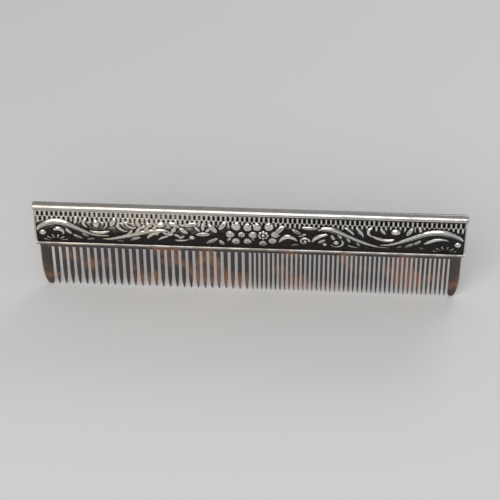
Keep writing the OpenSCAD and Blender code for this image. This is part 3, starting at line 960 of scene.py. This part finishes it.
def guard_rings(side):
    """The broad end tooth, whose outer edge sweeps in to its tip."""
    inner = COARSE_GAP - coarse_low[0]
    width = guard_high[0] - inner
    shank = [-0.02, 0.0, 0.1, 0.2, 0.3]
    swept_end = 0.3 + 0.7 * np.sin(np.linspace(0.1, math.pi / 2, 16))
    rings = []
    for t in np.concatenate([shank, swept_end]):
        swept = max(t - SWEEP_START, 0) / (1 - SWEEP_START)
        tip = max(t - ROUND_START, 0) / (1 - ROUND_START)
        keep = (GUARD_TIP + (1 - GUARD_TIP) * math.sqrt(max(1 - swept**2, 0))) * closing(tip, 2)
        lean = width * 0.16 * tip
        left, right = inner + lean * 0.9, inner + lean + width * keep
        thick = HALF_THICK * (1 - THINNING * max(t, 0)) * closing(tip, 2)
        middle, half_w = side * (left + right) / 2, (right - left) / 2
        rings.append(rounded_ring(middle, ROOT_Z - t * TOOTH_LENGTH, half_w, thick, 4))
    return rings


def band_rings():
    """The solid band over the teeth, with round corners; squeeze eases its upper and lower edges."""
    half_x, half_y = tang_high[0] - CORNER_R, HALF_THICK - CORNER_R
    top = tang_high[2]
    upper = [(top, 0.04), (top - 0.1, 0), (0.5, 0)]
    lower = [(ROOT_Z + 0.3, 0), (ROOT_Z + 0.08, 0.03), (ROOT_Z, 0.12)]
    rings = []
    for z, squeeze in upper + lower:
        ring = []
        for sx, sy, start in ((1, 1, 0), (-1, 1, 90), (-1, -1, 180), (1, -1, 270)):
            corner = arc(sx * half_x, sy * half_y, CORNER_R - squeeze, start, start + 90, 5)
            ring += [(x, y, z) for x, y in corner]
        rings.append(ring)
    return rings


def tooth_plate():
    """The whole moulding: its band, its two runs of teeth and its guard teeth."""
    points, faces = [], []
    loft(band_rings(), points, faces)
    coarse = (coarse_low[0], coarse_high[0], COARSE, COARSE_GAP)
    fine = (fine_low[0], fine_high[0], FINE, FINE_GAP)
    for low, high, count, gap in (coarse, fine):
        pitch = (high - low + gap) / count
        for i in range(count):
            loft(tooth_rings(low - gap / 2 + (i + 0.5) * pitch, pitch, gap), points, faces)
    for side in (-1, 1):
        loft(guard_rings(side), points, faces)
    piece = add_mesh("tooth_plate", points, faces)
    outward_normals(piece, 55)
    return piece


place(tooth_plate(), shell, "shell", "plate_tang", "coarse_teeth", "fine_teeth", "guard_teeth")


# ---------------------------------------------------------------- resin, whose CAD mesh stays
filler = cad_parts["resin_bed"]
filler.data.materials.clear()
filler.data.materials.append(resin())


# ---------------------------------------------------------------- stage, light and camera
# From here on, sizes are in metres, as Blender has them.
FLOOR_HALF = 3.0
SKY = (0.86, 0.88, 0.92, 1)
SKY_STRENGTH = 0.42
# Where the camera stands round the comb, and its focal length in millimetres.
AZIMUTH = math.radians(3.3)
ELEVATION = math.radians(44.6)
ROLL = math.radians(-0.48)
DISTANCE = 0.854
LENS = 150.0


def area_light(name, place_at, size, power, tint=(1, 1, 1)):
    """A rectangular light aimed at the mount."""
    lamp = bpy.data.lights.new(name, "AREA")
    lamp.shape = "RECTANGLE"
    lamp.size, lamp.size_y = size
    lamp.energy = power
    lamp.color = tint
    lit = bpy.data.objects.new(name, lamp)
    lit.location = place_at
    lit.rotation_euler = (-Vector(place_at)).to_track_quat("-Z", "Y").to_euler()
    bpy.context.scene.collection.objects.link(lit)


floor_mesh = bpy.data.meshes.new("floor")
corners = [(sx * FLOOR_HALF, sy * FLOOR_HALF, 0) for sx, sy in ((-1, -1), (1, -1), (1, 1), (-1, 1))]
floor_mesh.from_pydata(corners, [], [(0, 1, 2, 3)])
floor_mesh.materials.append(pale_floor())
floor = bpy.data.objects.new("floor", floor_mesh)
floor.location.z = TIP_Z * MM
bpy.context.scene.collection.objects.link(floor)

area_light("key", (-0.20, -0.72, 0.66), size=(1.0, 0.70), power=5.4, tint=(1.0, 0.975, 0.94))
area_light("side", (0.75, -0.10, 0.35), size=(0.25, 0.40), power=0.6, tint=(0.94, 0.97, 1.0))
area_light("back", (0.32, 0.60, 0.50), size=(0.40, 0.25), power=0.8)

world = bpy.data.worlds.new("studio")
world.use_nodes = True
sky = world.node_tree.nodes["Background"]
sky.inputs["Color"].default_value = SKY
sky.inputs["Strength"].default_value = SKY_STRENGTH
bpy.context.scene.world = world
bpy.context.scene.view_settings.view_transform = "Standard"

aim = Vector((0, 0, (cad_low[2] + cad_high[2]) / 2))
flat = math.cos(ELEVATION)
to_camera = Vector((math.sin(AZIMUTH) * flat, -math.cos(AZIMUTH) * flat, math.sin(ELEVATION)))
level = to_camera.to_track_quat("Z", "Y").to_matrix().to_4x4()
camera_data = bpy.data.cameras.new("camera")
camera_data.lens = LENS
camera_data.clip_start = 0.01
camera = bpy.data.objects.new("camera", camera_data)
camera.location = aim + to_camera * DISTANCE
camera.rotation_euler = (level @ Matrix.Rotation(ROLL, 4, "Z")).to_euler()
bpy.context.scene.collection.objects.link(camera)
bpy.context.scene.camera = camera
